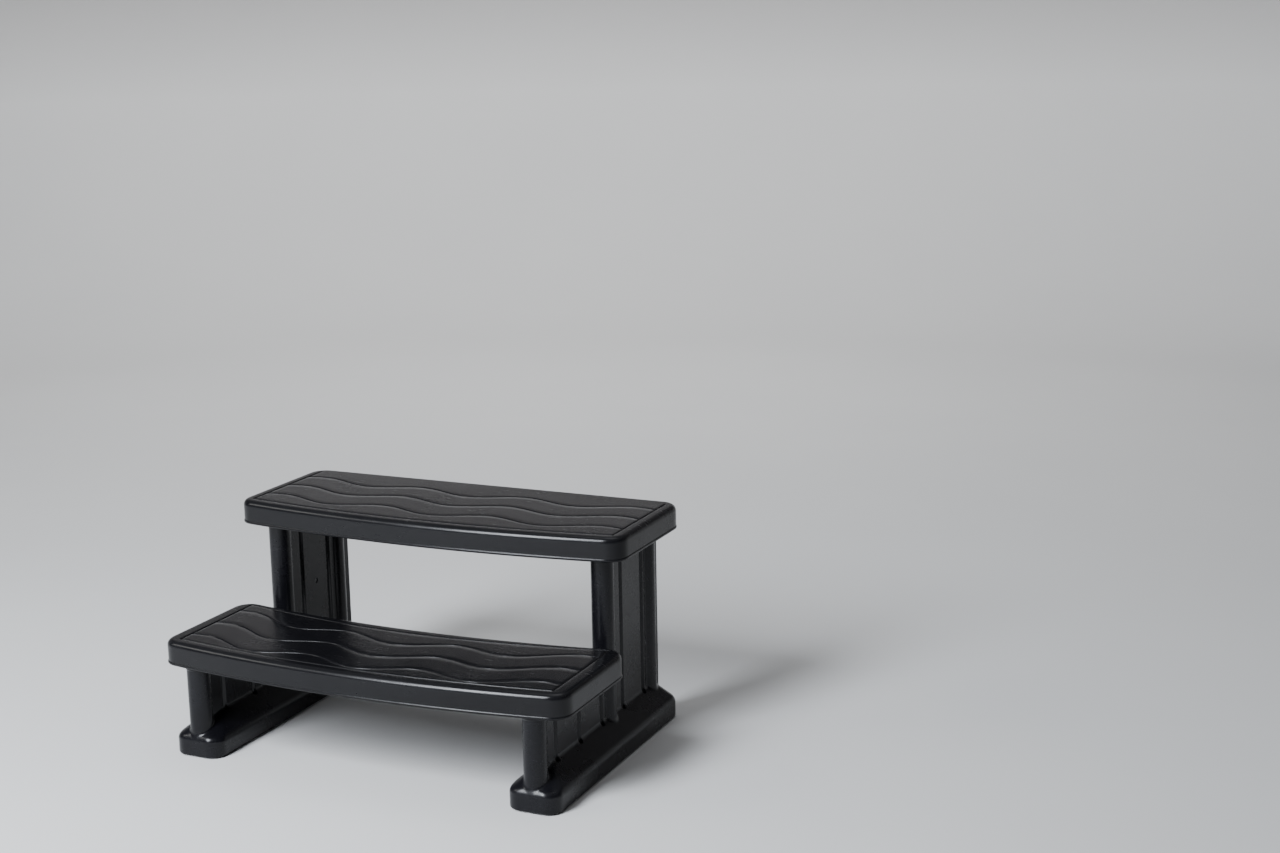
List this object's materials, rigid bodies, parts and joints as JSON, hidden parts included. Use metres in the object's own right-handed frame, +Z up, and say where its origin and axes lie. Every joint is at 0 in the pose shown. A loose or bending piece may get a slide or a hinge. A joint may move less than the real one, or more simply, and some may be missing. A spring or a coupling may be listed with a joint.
{
  "type": "spa steps",
  "caption": "Free-standing moulded plastic spa steps: bowed, wave-grooved treads on hollow flared side panels, with rubber feet.",
  "frame": {"origin": "on the floor, under the centre of the bounding box", "axes": "+X across the steps to the user's right when they face the spa, +Y from the front of the lower step towards the spa, +Z up"},
  "size_m": [0.7824, 0.5353, 0.4],
  "materials": {
    "tread_plastic": "satin moulded, weathering resistant",
    "panel_plastic": "satin moulded, slightly glossier on posts",
    "pad_rubber": "matte, non-slip",
    "screw_steel": "plain stainless"
  },
  "bodies": {
    "root": {"lower_tread": "tread_plastic", "upper_tread": "tread_plastic", "left_panel_outer_shell": "panel_plastic", "left_panel_inner_shell": "panel_plastic", "right_panel_outer_shell": "panel_plastic", "right_panel_inner_shell": "panel_plastic", "left_panel_screws": "screw_steel", "right_panel_screws": "screw_steel", "lower_tread_left_screws": "screw_steel", "upper_tread_left_screws": "screw_steel", "lower_tread_right_screws": "screw_steel", "upper_tread_right_screws": "screw_steel", "front_left_foot_pad": "pad_rubber", "rear_left_foot_pad": "pad_rubber", "front_right_foot_pad": "pad_rubber", "rear_right_foot_pad": "pad_rubber"}
  },
  "joints": []
}
